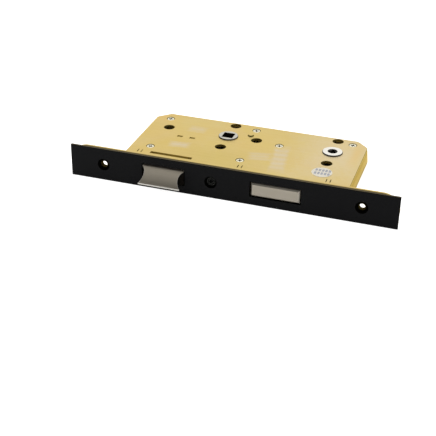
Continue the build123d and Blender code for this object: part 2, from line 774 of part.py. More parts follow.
# Turn follower: a spool with a cam and crank above the deadbolt's tail
with BuildPart() as turn_follower:
    for bottom, top, diameter in (
        (journal_bottom, hub_bottom, turn_journal),
        (hub_bottom, flange_top, turn_flange),
        (flange_top, cam_bottom, turn_neck),
        (cam_bottom, hub_top, cam_diameter),
        (hub_top, journal_top, turn_journal),
    ):
        with BuildSketch(Plane.XY.offset(bottom)):
            with Locations((turn_x, backset)):
                Circle(diameter / 2)
        extrude(amount=top - bottom)
    spool_rims = turn_follower.edges().group_by(Axis.Z)
    chamfer(spool_rims[0] + spool_rims[-1], journal_edge)
    with BuildSketch(Plane.XY.offset(cam_bottom)):
        for angle in (0, -turn_swing):
            with Locations(Location((turn_x, backset, 0), (0, 0, angle))):
                with Locations((cam_flat, 0)):
                    Rectangle(cam_diameter, cam_diameter, align=(Align.MIN, Align.CENTER))
    extrude(amount=cam_height, mode=Mode.SUBTRACT)
    with BuildSketch(Plane.XY.offset(cam_bottom)):
        with Locations(Location((turn_x, backset, 0), (0, 0, crank_rest_angle))):
            Rectangle(crank_radius, crank_tip, align=(Align.MIN, Align.CENTER))
        with Locations((crank_rest_x, crank_rest_y)):
            Circle(crank_tip / 2)
    extrude(amount=cam_height)
    with BuildSketch(Plane.XY.offset(cam_bottom)):
        with Locations((crank_rest_x, crank_rest_y)):
            Circle(crank_pin_diameter / 2 + fixed_clearance)
    extrude(amount=cam_height, mode=Mode.SUBTRACT)
    with BuildSketch(Plane.XY.offset(journal_bottom)):
        with Locations(Location((turn_x, backset, 0), (0, 0, 45))):
            Rectangle(turn_square + 2 * spindle_clearance, turn_square + 2 * spindle_clearance)
    extrude(amount=journal_top - journal_bottom, mode=Mode.SUBTRACT)
    for level, way in ((journal_top, -1), (journal_bottom, 1)):
        with BuildSketch(Plane.XY.offset(level)):
            with Locations((turn_x, backset)):
                Circle(turn_lead_in / 2)
        extrude(amount=way * turn_lead_depth, taper=turn_lead_angle, mode=Mode.SUBTRACT)
turn_follower.part.label = "turn_follower"
export_step(turn_follower.part, "parts/turn_follower.step")

# Crank pin: pressed into the turn follower's crank, it drives the deadbolt's tail
with BuildPart() as crank_pin:
    with BuildSketch(Plane.XY.offset(-tail_sheet / 2)):
        with Locations((crank_rest_x, crank_rest_y)):
            Circle(crank_pin_diameter / 2)
    extrude(amount=hub_top + tail_sheet / 2)
crank_pin.part.label = "crank_pin"
export_step(crank_pin.part, "parts/crank_pin.step")

# Detent spring: a bent strip that hugs two posts and presses on the turn follower's flats
with BuildPart() as detent_spring:
    with BuildSketch(Plane.XY.offset((cam_bottom + hub_top - detent_width) / 2)):
        with BuildLine():
            FilletPolyline(
                (detent_middle + detent_hook, detent_front),
                (detent_middle, detent_front),
                (detent_middle, detent_back),
                (detent_middle + detent_hook, detent_back),
                radius=detent_bend,
            )
        trace(line_width=detent_sheet)
    extrude(amount=detent_width)
detent_spring.part.label = "detent_spring"
export_step(detent_spring.part, "parts/detent_spring.step")

# Detent posts: two pins riveted into the tray that carry the spring's ends
with BuildPart() as detent_posts:
    for bottom, top, diameter in (
        (case_bottom, case_floor, detent_post_spigot),
        (case_floor, case_ceiling, detent_post_diameter),
    ):
        with BuildSketch(Plane.XY.offset(bottom)):
            with Locations(*detent_post_points):
                Circle(diameter / 2)
        extrude(amount=top - bottom)
detent_posts.part.label = "detent_posts"
export_step(detent_posts.part, "parts/detent_posts.step")

# Inspection sticker: a thin round paper label on the cover
with BuildPart() as inspection_sticker:
    with BuildSketch(Plane.XY.offset(case_top)):
        with Locations((turn_x, backset - sticker_drop)):
            Circle(sticker_diameter / 2)
    extrude(amount=sticker_sheet)
inspection_sticker.part.label = "inspection_sticker"
export_step(inspection_sticker.part, "parts/inspection_sticker.step")
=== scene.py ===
"""Looks of a bathroom mortise lock: its finishes, fine pieces, floor, light and camera.

Sizes are metres in the lock's own frame: X runs along the forend with the latch on the -X side, Y runs
into the case and Z is up through the cover plate. The origin is the middle of the forend's outer face.
"""
import logging
from dataclasses import dataclass, field, replace
from enum import Enum
from math import pi, radians
from typing import ClassVar

import bpy
from bpy.types import Material, Node, NodeTree, Object, World
from bpy.types import NodeSocket as Socket
from mathutils import Matrix, Vector


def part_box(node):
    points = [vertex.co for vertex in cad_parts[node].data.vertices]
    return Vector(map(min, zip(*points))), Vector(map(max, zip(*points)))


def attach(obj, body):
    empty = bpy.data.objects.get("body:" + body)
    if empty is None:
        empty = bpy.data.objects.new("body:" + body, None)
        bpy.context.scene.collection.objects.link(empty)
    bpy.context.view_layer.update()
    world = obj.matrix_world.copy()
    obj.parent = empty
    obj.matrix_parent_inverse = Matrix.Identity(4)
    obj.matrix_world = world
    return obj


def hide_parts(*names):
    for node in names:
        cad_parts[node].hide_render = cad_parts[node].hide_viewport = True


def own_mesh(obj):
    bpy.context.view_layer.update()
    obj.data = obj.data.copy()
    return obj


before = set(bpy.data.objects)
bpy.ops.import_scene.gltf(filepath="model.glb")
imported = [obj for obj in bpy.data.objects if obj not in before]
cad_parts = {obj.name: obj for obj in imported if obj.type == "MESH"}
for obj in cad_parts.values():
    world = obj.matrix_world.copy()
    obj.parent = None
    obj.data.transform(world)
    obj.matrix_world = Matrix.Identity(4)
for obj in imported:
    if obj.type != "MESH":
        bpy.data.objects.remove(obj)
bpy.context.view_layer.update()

LOG = logging.getLogger("mortise_lock")
MM = 0.001
WHITE = (1.0, 1.0, 1.0)
Colour = tuple[float, float, float]
Place = tuple[float, float, float]
Sockets = bpy.types.bpy_prop_collection


def mm(*sizes: float) -> tuple:
    """Turn millimetres into metres."""
    return tuple(size * MM for size in sizes)


class Body(Enum):
    """The bodies that the new pieces ride on."""

    CASE = "case"
    CARRIAGE = "carriage"


class Grain(Enum):
    """Which way a sheet was rolled or a face was brushed, as the stretch of its grain along X, Y and Z."""

    ALONG_FOREND = (0.04, 1.0, 1.0)
    EVEN = (1.0, 1.0, 1.0)


class Way(Enum):
    """Which way a face looks, forwards or backwards."""

    ACROSS = (1.0, 0.0, 0.0)
    INWARD = (0.0, 1.0, 0.0)
    UP = (0.0, 0.0, 1.0)
    UP_AND_OUT = (0.0, -0.707, 0.707)


class NodeDesk:
    """Adds nodes to one tree and wires them."""

    def __init__(self, tree: NodeTree) -> None:
        """Keep the tree that the nodes go to."""
        self.tree = tree

    @classmethod
    def of(cls, owner: Material | World) -> "NodeDesk":
        """Clear the tree of a material or a world.

        Args:
            owner: The material or the world.

        Returns:
            The desk of its tree.
        """
        owner.use_nodes = True
        owner.node_tree.nodes.clear()
        return cls(owner.node_tree)

    def add(self, kind: str, wires: dict | None = None, **settings: object) -> Node:
        """Add a node, set its properties and wire or fill its inputs.

        Args:
            kind: Identifier of the type of node.
            wires: Input name or number to the socket or list of sockets that feeds it, or to its value.
            settings: Properties of the node.

        Returns:
            The new node.
        """
        node = self.tree.nodes.new(kind)
        for name, value in settings.items():
            setattr(node, name, value)
        for key, value in (wires or {}).items():
            for source in value if isinstance(value, list) else [value]:
                if isinstance(source, Socket):
                    self.tree.links.new(source, node.inputs[key])
                else:
                    node.inputs[key].default_value = source
        return node

    def out(self, kind: str, wires: dict | None = None, **settings: object) -> Socket:
        """Add a node and give its first output."""
        return self.add(kind, wires, **settings).outputs[0]

    def end(self, shader: str, wires: dict, output: str = "ShaderNodeOutputMaterial") -> None:
        """End the tree in a shader and its output."""
        self.add(output, {"Surface": self.out(shader, wires)})

    def place(self, kind: str = "Object") -> Socket:
        """Give the Object coordinates, or another kind."""
        return self.add("ShaderNodeTexCoord").outputs[kind]

    def split(self, vector: Socket | None = None) -> Sockets:
        """Give the X, Y and Z of a vector, or of the Object coordinates."""
        return self.add("ShaderNodeSeparateXYZ", {0: vector or self.place()}).outputs

    def math(self, operation: str, *terms: object, clamp: bool = False) -> Socket:
        """Work out a number from sockets or numbers, perhaps kept between 0 and 1."""
        return self.out("ShaderNodeMath", dict(enumerate(terms)), operation=operation, use_clamp=clamp)

    def vector(self, operation: str, first: object, second: object) -> Sockets:
        """Work out a vector, or a number as its Value, from two vectors."""
        return self.add("ShaderNodeVectorMath", {0: first, 1: second}, operation=operation).outputs

    def noise(self, vector: Socket, scale: Socket, detail: float, **more: float) -> Socket:
        """Give the noise at a place."""
        wires = {"Vector": vector, "Scale": scale, "Detail": detail} | more
        return self.out("ShaderNodeTexNoise", wires)

    def mix(self, factor: object, first: object, second: object) -> Socket:
        """Mix two colours, each a socket or plain, with the factor as the share of the second."""
        wires = {0: factor, 6: self.solid(first), 7: self.solid(second)}
        return self.add("ShaderNodeMix", wires, data_type="RGBA").outputs[2]

    def blend(self, factor: object, first: object, second: object) -> Socket:
        """Mix two numbers, each a socket or plain, with the factor as the share of the second."""
        return self.out("ShaderNodeMix", {0: factor, 2: first, 3: second}, data_type="FLOAT")

    def spread(
        self, value: Socket, low: object, high: object, first: object = 0.0, last: object = 1.0
    ) -> Socket:
        """Map a value's range from low to high onto another, from first to last, eased at both ends."""
        wires = {"Value": value, "From Min": low, "From Max": high, "To Min": first, "To Max": last}
        return self.out("ShaderNodeMapRange", wires, interpolation_type="SMOOTHSTEP")

    @staticmethod
    def solid(colour: object) -> object:
        """Give a plain colour its alpha, and leave a socket as it is."""
        return colour if isinstance(colour, Socket) else (*colour, 1.0)


class SurfaceEffect:
    """A shader node group that is built once and placed in many materials."""

    name = "effect"
    inputs: ClassVar[dict[str, float | Place]] = {}
    outputs: ClassVar[tuple[str, ...]] = ("Mask",)

    @classmethod
    def tree(cls) -> NodeTree:
        """Give the group's tree, built on first use.

        Returns:
            The tree.
        """
        found = bpy.data.node_groups.get(cls.name)
        if found:
            return found
        tree = bpy.data.node_groups.new(cls.name, "ShaderNodeTree")
        for name, value in cls.inputs.items():
            kind = "NodeSocketVector" if isinstance(value, tuple) else "NodeSocketFloat"
            tree.interface.new_socket(name=name, in_out="INPUT", socket_type=kind).default_value = value
        for name in cls.outputs:
            tree.interface.new_socket(name=name, in_out="OUTPUT", socket_type="NodeSocketFloat")
        desk = NodeDesk(tree)
        given = desk.add("NodeGroupInput").outputs
        desk.add("NodeGroupOutput", cls.wire(desk, given))
        return tree

    @classmethod
    def wire(cls, desk: NodeDesk, given: Sockets) -> dict[str, Socket]:
        """Add the group's own nodes, and give each output's name with the socket that feeds it."""
        raise NotImplementedError

    @classmethod
    def put(cls, desk: NodeDesk, **values: object) -> Sockets:
        """Put the group into a material with its own values, and give its outputs."""
        return desk.add("ShaderNodeGroup", values, node_tree=cls.tree()).outputs


class Clouding(SurfaceEffect):
    """Soft patches of another tone, as plating and coatings have."""

    name = "clouding"
    inputs = {"Scale": 40.0, "Contrast": 0.5}
    detail = 3.0
    distortion = 0.8

    @classmethod
    def wire(cls, desk: NodeDesk, given: Sockets) -> dict[str, Socket]:
        """Steepen noise about its middle.

        Args:
            desk: Where the nodes go.
            given: The group's inputs.

        Returns:
            Output name to its socket.
        """
        noise = desk.noise(desk.place(), given["Scale"], cls.detail, Distortion=cls.distortion)
        steep = desk.math("DIVIDE", desk.math("SUBTRACT", noise, 0.5), given["Contrast"])
        return {"Mask": desk.math("ADD", steep, 0.5, clamp=True)}


class RollingGrain(SurfaceEffect):
    """Fine streaks left by rolling or brushing."""

    name = "rolling_grain"
    inputs = {"Stretch": Grain.EVEN.value, "Scale": 2500.0}
    outputs = ("Height", "Streaks")
    fine_detail = 4.0
    fine_roughness = 0.6
    broad_detail = 2.0
    broad_scale = 0.22
    broad_share = 0.6
    streak_range = (0.35, 0.65)

    @classmethod
    def wire(cls, desk: NodeDesk, given: Sockets) -> dict[str, Socket]:
        """Stretch fine and broad noise, and draw streaks from both.

        Args:
            desk: Where the nodes go.
            given: The group's inputs.

        Returns:
            Output name to its socket.
        """
        drawn = desk.vector("MULTIPLY", desk.place(), given["Stretch"])[0]
        fine = desk.noise(drawn, given["Scale"], cls.fine_detail, Roughness=cls.fine_roughness)
        scale = desk.math("MULTIPLY", given["Scale"], cls.broad_scale)
        both = desk.blend(cls.broad_share, fine, desk.noise(drawn, scale, cls.broad_detail))
        return {"Height": fine, "Streaks": desk.spread(both, *cls.streak_range)}


class EdgeWearAndHighlight(SurfaceEffect):
    """Along corners, broken up so that no edge is even: rubbed wear, and on some finishes a painted edge
    highlight.
    """

    name = "edge_wear_and_highlight"
    inputs = {"Width": 0.3 * MM, "Breakup": 900.0}
    samples = 6
    corner_range = (0.99, 0.80)
    breakup_detail = 2.0
    breakup_range = (0.3, 0.7)
    least = 0.25

    @classmethod
    def wire(cls, desk: NodeDesk, given: Sockets) -> dict[str, Socket]:
        """Find where a rounded normal leaves the true one, and break that up.

        Args:
            desk: Where the nodes go.
            given: The group's inputs.

        Returns:
            Output name to its socket.
        """
        rounded = desk.out("ShaderNodeBevel", {"Radius": given["Width"]}, samples=cls.samples)
        true_normal = desk.add("ShaderNodeNewGeometry").outputs["Normal"]
        corner = desk.spread(desk.vector("DOT_PRODUCT", rounded, true_normal)["Value"], *cls.corner_range)
        noise = desk.noise(desk.place(), given["Breakup"], cls.breakup_detail)
        return {"Mask": desk.math("MULTIPLY", corner, desk.spread(noise, *cls.breakup_range, cls.least))}


class Facing(SurfaceEffect):
    """Which faces look along an axis, either way."""

    name = "facing"
    inputs = {"Axis": Way.UP.value, "Low": 0.75, "High": 0.95}

    @classmethod
    def wire(cls, desk: NodeDesk, given: Sockets) -> dict[str, Socket]:
        """Compare the normal with the axis."""
        along = desk.vector("DOT_PRODUCT", desk.place("Normal"), given["Axis"])["Value"]
        return {"Mask": desk.spread(desk.math("ABSOLUTE", along), given["Low"], given["High"])}


class PowderTexture(SurfaceEffect):
    """The fine even pimples of a powder coat."""

    name = "powder_texture"
    inputs = {"Scale": 1800.0}
    outputs = ("Height",)
    smoothness = 0.6
    noise_detail = 2.0
    noise_share = 0.5

    @classmethod
    def wire(cls, desk: NodeDesk, given: Sockets) -> dict[str, Socket]:
        """Mix soft cells with noise.

        Args:
            desk: Where the nodes go.
            given: The group's inputs.

        Returns:
            Output name to its socket.
        """
        place = desk.place()
        wires = {"Vector": place, "Scale": given["Scale"], "Smoothness": cls.smoothness}
        cells = desk.add("ShaderNodeTexVoronoi", wires, feature="SMOOTH_F1").outputs["Distance"]
        noise = desk.noise(place, given["Scale"], cls.noise_detail)
        return {"Height": desk.blend(cls.noise_share, cells, noise)}


@dataclass(frozen=True, kw_only=True)
class Skin:
    """Another tone on some of a surface."""

    tone: Colour = WHITE
    roughness: float
    metallic: float = 1.0

    def mask(self, desk: NodeDesk) -> Socket:
        """Wire where the skin lies."""
        raise NotImplementedError

    def colour(self, desk: NodeDesk) -> object:
        """Give the skin's tone, plain or as a socket."""
        return self.tone

    def cover(self, desk: NodeDesk, wires: dict) -> None:
        """Lay the skin over what feeds a shader.

        Args:
            desk: The material's desk.
            wires: Shader input to the socket or value that feeds it, changed in place.
        """
        covered = self.mask(desk)
        wires["Base Color"] = desk.mix(covered, wires["Base Color"], self.colour(desk))
        wires["Roughness"] = desk.blend(covered, wires["Roughness"], self.roughness)
        if wires["Metallic"] != self.metallic:
            wires["Metallic"] = desk.blend(covered, wires["Metallic"], self.metallic)


@dataclass(frozen=True, kw_only=True)
class FaceSkin(Skin):
    """A skin on the faces that look along an axis, or on all the others, perhaps in bands by height."""

    axis: Way
    on_others: bool = False
    low: float = 0.75
    high: float = 0.95
    bands: tuple[tuple[float, Colour], ...] = ()

    def mask(self, desk: NodeDesk) -> Socket:
        """Wire where the skin lies."""
        along = Facing.put(desk, Axis=self.axis.value, Low=self.low, High=self.high)["Mask"]
        return desk.math("SUBTRACT", 1.0, along) if self.on_others else along

    def colour(self, desk: NodeDesk) -> object:
        """Give the skin's tone, or wire its bands from the lowest height to the highest.

        Args:
            desk: The material's desk.

        Returns:
            The tone, or the socket of the bands' colour.
        """
        if not self.bands:
            return self.tone
        bottom, top = self.bands[0][0], self.bands[-1][0]
        along = desk.math("DIVIDE", desk.math("SUBTRACT", desk.split()[2], bottom), top - bottom, clamp=True)
        ramp = desk.add("ShaderNodeValToRGB", {0: along})
        stops = ramp.color_ramp.elements
        while len(stops) < len(self.bands):
            stops.new(1.0)
        for stop, (level, tone) in zip(stops, self.bands):
            stop.position = (level - bottom) / (top - bottom)
            stop.color = (*tone, 1.0)
        return ramp.outputs[0]


@dataclass(frozen=True, kw_only=True)
class PaintedBoreAndJointShade(Skin):
    """Painted shade: a dark tone round some holes in an upright plate and along its front edge, where the
    bores and the joint lie in shade.
    """

    places: tuple[tuple[float, float], ...]
    radius: float
    full_share: float = 0.8
    front: float
    reach: float

    def mask(self, desk: NodeDesk) -> Socket:
        """Wire where the painted shade lies.

        Args:
            desk: The material's desk.

        Returns:
            The mask's socket.
        """
        flat = desk.vector("MULTIPLY", desk.place(), (1.0, 0.0, 1.0))[0]
        nearest: object = 1.0
        for across, up in self.places:
            away = desk.vector("DISTANCE", flat, (across, 0.0, up))["Value"]
            nearest = desk.math("MINIMUM", nearest, away)
        holes = desk.spread(nearest, self.full_share * self.radius, self.radius, 1.0, 0.0)
        edge = desk.spread(desk.split()[1], self.front, self.front + self.reach, 1.0, 0.0)
        return desk.math("MAXIMUM", holes, edge)


@dataclass(frozen=True, kw_only=True)
class Finish:
    """A finish: the base of all the lock's materials, with clouds, edge tones for rubbed wear and painted
    highlights, relief and skins.
    """

    name: str
    tone: Colour
    cloud_tone: Colour
    cloud_scale: float = 40.0
    cloud_contrast: float = 0.6
    roughness: float
    roughness_swing: float = 0.08
    metallic: float = 1.0
    gloss: float = 0.5
    edge_tint: Colour = WHITE
    # The edge tone stands for rubbed wear, and on some finishes for a painted highlight.
    wear_and_highlight_tone: Colour = (0.9, 0.88, 0.85)
    wear_and_highlight_width: float = 0.25 * MM
    wear_and_highlight_share: float = 0.5
    relief_depth: float = 0.004 * MM
    skins: tuple[Skin, ...] = ()

    def material(self) -> Material:
        """Give the finish's material, built on first use.

        Returns:
            The material.
        """
        found = bpy.data.materials.get(self.name)
        if found:
            return found
        made = bpy.data.materials.new(self.name)
        desk = NodeDesk.of(made)
        wires = {
            "Metallic": self.metallic,
            "Specular IOR Level": self.gloss,
            "Specular Tint": (*self.edge_tint, 1.0),
        }
        wires |= self.surface(desk)
        for skin in self.skins:
            skin.cover(desk, wires)
        desk.end("ShaderNodeBsdfPrincipled", wires)
        return made

    def surface(self, desk: NodeDesk) -> dict:
        """Wire what changes over the surface.

        Args:
            desk: The material's desk.

        Returns:
            Shader input to the socket that feeds it.
        """
        cloud = Clouding.put(desk, Scale=self.cloud_scale, Contrast=self.cloud_contrast)["Mask"]
        height, rough = self.relief(desk)
        bump = {"Height": height, "Distance": self.relief_depth, "Strength": 1.0}
        return {
            "Base Color": self.colour(desk, cloud),
            "Roughness": desk.math("MULTIPLY_ADD", cloud, self.roughness_swing, rough),
            "Normal": desk.out("ShaderNodeBump", bump),
        }

    def relief(self, desk: NodeDesk) -> tuple[Socket, object]:
        """Give the height of the surface, about 0 to 1, and the roughness that goes with it."""
        raise NotImplementedError

    def plain(self, desk: NodeDesk, cloud: Socket) -> Socket:
        """Mix the tone with the clouds' tone."""
        return desk.mix(cloud, self.tone, self.cloud_tone)

    def colour(self, desk: NodeDesk, cloud: Socket) -> Socket:
        """Lay the edge tone along the plain colour's edges: rubbed wear, and on some finishes a painted edge
        highlight.
        """
        wear_and_highlight = desk.math("MULTIPLY", EdgeWearAndHighlight.put(desk, Width=self.wear_and_highlight_width)["Mask"], self.wear_and_highlight_share)
        return desk.mix(wear_and_highlight, self.plain(desk, cloud), self.wear_and_highlight_tone)

    def dress(self, *nodes: str) -> None:
        """Give the finish to every material slot of some nodes."""
        for place in (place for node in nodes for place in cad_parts[node].material_slots):
            place.material = self.material()


@dataclass(frozen=True, kw_only=True)
class RolledMetal(Finish):
    """Bare or plated metal with the grain of rolling or brushing."""

    grain: Grain = Grain.EVEN
    grain_scale: float = 2500.0

    def relief(self, desk: NodeDesk) -> tuple[Socket, object]:
        """Give the grain's height, and the roughness of its streaks."""
        grain = RollingGrain.put(desk, Stretch=self.grain.value, Scale=self.grain_scale)
        return grain[0], desk.math("MULTIPLY_ADD", grain[1], self.roughness_swing, self.roughness)


@dataclass(frozen=True, kw_only=True)
class TonePatch:
    """A soft ragged patch of another tone on a face that looks up, perhaps with faint rows across it."""

    centre: tuple[float, float]
    size: tuple[float, float]
    tone: Colour
    share: float
    turn: float = 0.0
    softness: float = 0.35
    ragged_scale: float = 350.0
    ragged_contrast: float = 0.8
    rows: int = 0
    row_range: tuple[float, float] = (-0.4, 2.4)
    row_dip: float = 0.5
    mottle_scale: float = 700.0
    mottle_contrast: float = 0.6
    mottle_weight: float = 2.0

    def mask(self, desk: NodeDesk) -> Socket:
        """Wire the patch's mask.

        Args:
            desk: The material's desk.

        Returns:
            The mask's socket.
        """
        wires = {
            "Vector": desk.place(),
            "Location": (*self.centre, 0.0),
            "Rotation": (0.0, 0.0, self.turn),
            "Scale": (self.size[0] / 2, self.size[1] / 2, 1.0),
        }
        local = desk.out("ShaderNodeMapping", wires, vector_type="TEXTURE")
        across, along, _ = desk.split(local)
        off = desk.math("MAXIMUM", desk.math("ABSOLUTE", across), desk.math("ABSOLUTE", along))
        ragged = Clouding.put(desk, Scale=self.ragged_scale, Contrast=self.ragged_contrast)["Mask"]
        edge = desk.math("MULTIPLY_ADD", ragged, self.softness, off)
        inside = desk.spread(edge, 1.0 - self.softness, 1.0 + self.softness, self.share, 0.0)
        if not self.rows:
            return inside
        mottled = Clouding.put(desk, Scale=self.mottle_scale, Contrast=self.mottle_contrast)["Mask"]
        wave = desk.math("COSINE", desk.math("MULTIPLY", along, pi * self.rows))
        broken = desk.math("MULTIPLY_ADD", mottled, self.mottle_weight, wave)
        return desk.math("MULTIPLY", inside, desk.spread(broken, *self.row_range, self.row_dip))


@dataclass(frozen=True, kw_only=True)
class GoldPlate(RolledMetal):
    """Yellow-passivated plating with faint iridescent patches."""

    warm_tone: Colour = (0.80, 0.56, 0.20)
    warm_scale: float = 22.0
    warm_contrast: float = 0.5
    warm_share: float = 0.45
    patches: tuple[TonePatch, ...] = ()

    def plain(self, desk: NodeDesk, cloud: Socket) -> Socket:
        """Mix the gold with its pale and warm clouds and with its patches.

        Args:
            desk: The material's desk.
            cloud: Socket of the pale clouds' mask.

        Returns:
            The colour's socket.
        """
        warm = Clouding.put(desk, Scale=self.warm_scale, Contrast=self.warm_contrast)["Mask"]
        gold = desk.mix(cloud, self.tone, self.cloud_tone)
        gold = desk.mix(desk.math("MULTIPLY", warm, self.warm_share), gold, self.warm_tone)
        for patch in self.patches:
            gold = desk.mix(patch.mask(desk), gold, patch.tone)
        return gold


@dataclass(frozen=True, kw_only=True)
class PowderCoat(Finish):
    """Matt black coat with a fine texture and faintly polished corners."""

    cloud_scale: float = 60.0
    cloud_contrast: float = 0.8
    metallic: float = 0.0
    wear_and_highlight_tone: Colour = (0.05, 0.05, 0.05)
    wear_and_highlight_width: float = 0.2 * MM
    relief_depth: float = 0.012 * MM

    def relief(self, desk: NodeDesk) -> tuple[Socket, object]:
        """Give the texture's height, and the plain roughness."""
        return PowderTexture.put(desk)["Height"], self.roughness


@dataclass(frozen=True, kw_only=True)
class PrintedField:
    """A row of plain short bars on a face that looks up."""

    centre: tuple[float, float]
    size: tuple[float, float]
    bars: int
    gap: float = 0.3

    def mask(self, desk: NodeDesk) -> Socket:
        """Wire the row's mask.

        Args:
            desk: The material's desk.

        Returns:
            The mask's socket.
        """
        split = desk.split()
        inside: object = 1.0
        for axis, count in ((0, self.bars), (1, 1)):
            low = self.centre[axis] - self.size[axis] / 2
            along = desk.math("DIVIDE", desk.math("SUBTRACT", split[axis], low), self.size[axis])
            held = desk.math("COMPARE", along, 0.5, 0.5)
            step = desk.math("FRACT", desk.math("MULTIPLY", along, float(count)))
            bar = desk.math("MULTIPLY", held, desk.math("GREATER_THAN", step, self.gap))
            inside = desk.math("MULTIPLY", inside, bar)
        return inside


@dataclass(frozen=True, kw_only=True)
class LabelPaper(Finish):
    """White label paper with fibres and rows of plain printed bars."""

    cloud_scale: float = 700.0
    cloud_contrast: float = 1.2
    roughness_swing: float = 0.1
    metallic: float = 0.0
    relief_depth: float = 0.01 * MM
    fibre_scale: float = 6000.0
    ink: Colour = (0.25, 0.28, 0.38)
    ink_share: float = 0.68
    printed: tuple[PrintedField, ...] = ()

    def relief(self, desk: NodeDesk) -> tuple[Socket, object]:
        """Give the fibres' height, and the plain roughness."""
        return RollingGrain.put(desk, Scale=self.fibre_scale)["Height"], self.roughness

    def colour(self, desk: NodeDesk, cloud: Socket) -> Socket:
        """Print on the plain paper.

        Args:
            desk: The material's desk.
            cloud: Socket of the clouds' mask.

        Returns:
            The colour's socket.
        """
        paper = self.plain(desk, cloud)
        for row in self.printed:
            paper = desk.mix(desk.math("MULTIPLY", row.mask(desk), self.ink_share), paper, self.ink)
        return paper


STICKER_CENTRE = tuple((low + high) / 2 for low, high in zip(*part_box("inspection_sticker")))[:2]
FIXING_HOLES = (mm(-92.5, 0.0), mm(92.5, 0.0))
FOREND_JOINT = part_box("inner_forend")[0].y
FOREND_FOOT, FOREND_TOP = (corner.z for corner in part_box("outer_forend"))
TOP_EDGE = 1.5 * MM
PALE_ETCHING = (0.77, 0.67, 0.50)
SHADE_DARK = (0.002, 0.0018, 0.0013)
BROAD = 0.8

GOLD = GoldPlate(
    name="yellow_passivation",
    tone=(0.76, 0.62, 0.25),
    cloud_tone=(0.79, 0.66, 0.36),
    wear_and_highlight_tone=(0.92, 0.78, 0.42),
    roughness=0.34,
    edge_tint=(1.0, 0.85, 0.5),
    grain=Grain.ALONG_FOREND,
)
TRAY_GOLD = replace(
    GOLD,
    name="passivation_with_painted_wall_shade",
    skins=(
        # Painted reflection and shade: the tray's side walls are banded by height, greyer at the bottom,
        # brightest low down and darker towards the top.
        FaceSkin(
            axis=Way.ACROSS,
            roughness=0.4,
            bands=(
                (-7.75 * MM, (0.62, 0.54, 0.28)),
                (-4.00 * MM, (0.81, 0.66, 0.27)),
                (-1.00 * MM, (0.82, 0.65, 0.22)),
                (1.50 * MM, (0.75, 0.57, 0.16)),
                (4.00 * MM, (0.63, 0.47, 0.12)),
                (5.75 * MM, (0.70, 0.52, 0.14)),
            ),
        ),
    ),
)
FOREND_GOLD = replace(
    GOLD,
    name="passivation_with_painted_bore_shade",
    skins=(
        # Painted shade: the inner forend goes dark round its fixing bores and along its joint with the black
        # plate.
        PaintedBoreAndJointShade(
            tone=(0.06, 0.045, 0.015),
            roughness=0.7,
            places=FIXING_HOLES,
            radius=5.0 * MM,
            front=FOREND_JOINT,
            reach=1.7 * MM,
        ),
    ),
)
# Painted shade: the latch guide gets a darker, browner copy of the gold.
SHADED_GUIDE_GOLD = replace(
    GOLD,
    name="darker_guide_passivation",
    tone=(0.58, 0.47, 0.15),
    cloud_tone=(0.62, 0.51, 0.20),
    roughness=0.5,
)
# Painted shade: the cover's sloping faces, such as its countersinks, are a dark brown gold.
SLOPE_SHADE_SKIN = FaceSkin(axis=Way.UP, tone=(0.16, 0.13, 0.03), roughness=0.5, on_others=True)
# Painted shade: the cover's upright faces, at its edges and in its holes and slots, are a darker, deeper
# gold.
WALL_SHADE_SKIN = FaceSkin(axis=Way.UP, tone=(0.70, 0.56, 0.17), roughness=0.45, on_others=True, low=0.3, high=0.5)
# Painted sheen and shade: broad soft patches on the cover, paler over the right half and darker in front of
# the middle, with warmer tints at the back left corner and along the right edge.
BROAD_SHEEN_AND_SHADE_PATCHES = tuple(
    TonePatch(centre=centre, size=size, tone=tone, share=share, softness=BROAD)
    for centre, size, tone, share in (
        (mm(64.0, 55.0), mm(60.0, 90.0), (0.82, 0.71, 0.52), 0.8),
        (mm(-20.0, 22.0), mm(90.0, 44.0), (0.71, 0.57, 0.22), 0.75),
        (mm(-74.0, 76.0), mm(22.0, 20.0), (0.86, 0.60, 0.27), 0.5),
        (mm(76.0, 62.0), mm(8.0, 44.0), (0.84, 0.60, 0.25), 0.5),
    )
)
ETCHED_PATCHES = tuple(
    TonePatch(centre=centre, size=size, tone=PALE_ETCHING, share=share, turn=radians(turn), rows=rows)
    for centre, size, share, turn, rows in (
        (mm(-48.0, 34.5), mm(16.0, 9.5), 1.0, 6.0, 2),
        (mm(-44.0, 63.5), mm(14.0, 11.0), 0.7, 0.0, 2),
        (mm(26.0, 36.0), mm(12.0, 42.0), 1.0, 7.3, 6),
        (mm(12.0, 35.5), mm(18.0, 14.0), 0.75, 12.0, 3),
    )
)
# Etched fields, with the painted sheen and shade of the patches and skins above.
COVER_GOLD = replace(
    GOLD,
    name="etched_passivation_with_painted_shade",
    skins=(SLOPE_SHADE_SKIN, WALL_SHADE_SKIN),
    patches=BROAD_SHEEN_AND_SHADE_PATCHES + ETCHED_PATCHES,
)
BLACK = PowderCoat(
    name="matt_powder_coat",
    tone=(0.006, 0.006, 0.0065),
    cloud_tone=(0.0081, 0.0081, 0.008775),
    roughness=0.55,
    gloss=0.12,
    skins=(
        # Painted shade: the faces that do not look along Y, the plate's edges and the walls of its windows
        # and holes, are darker than the coat.
        FaceSkin(axis=Way.INWARD, tone=SHADE_DARK, roughness=0.6, on_others=True),
        # Painted highlight: the top face runs from that dark up to a light brown along its upper edge.
        FaceSkin(
            axis=Way.UP,
            roughness=0.5,
            bands=(
                (FOREND_FOOT, SHADE_DARK),
                (FOREND_TOP - TOP_EDGE, SHADE_DARK),
                (FOREND_TOP, (0.11, 0.085, 0.04)),
            ),
        ),
    ),
)
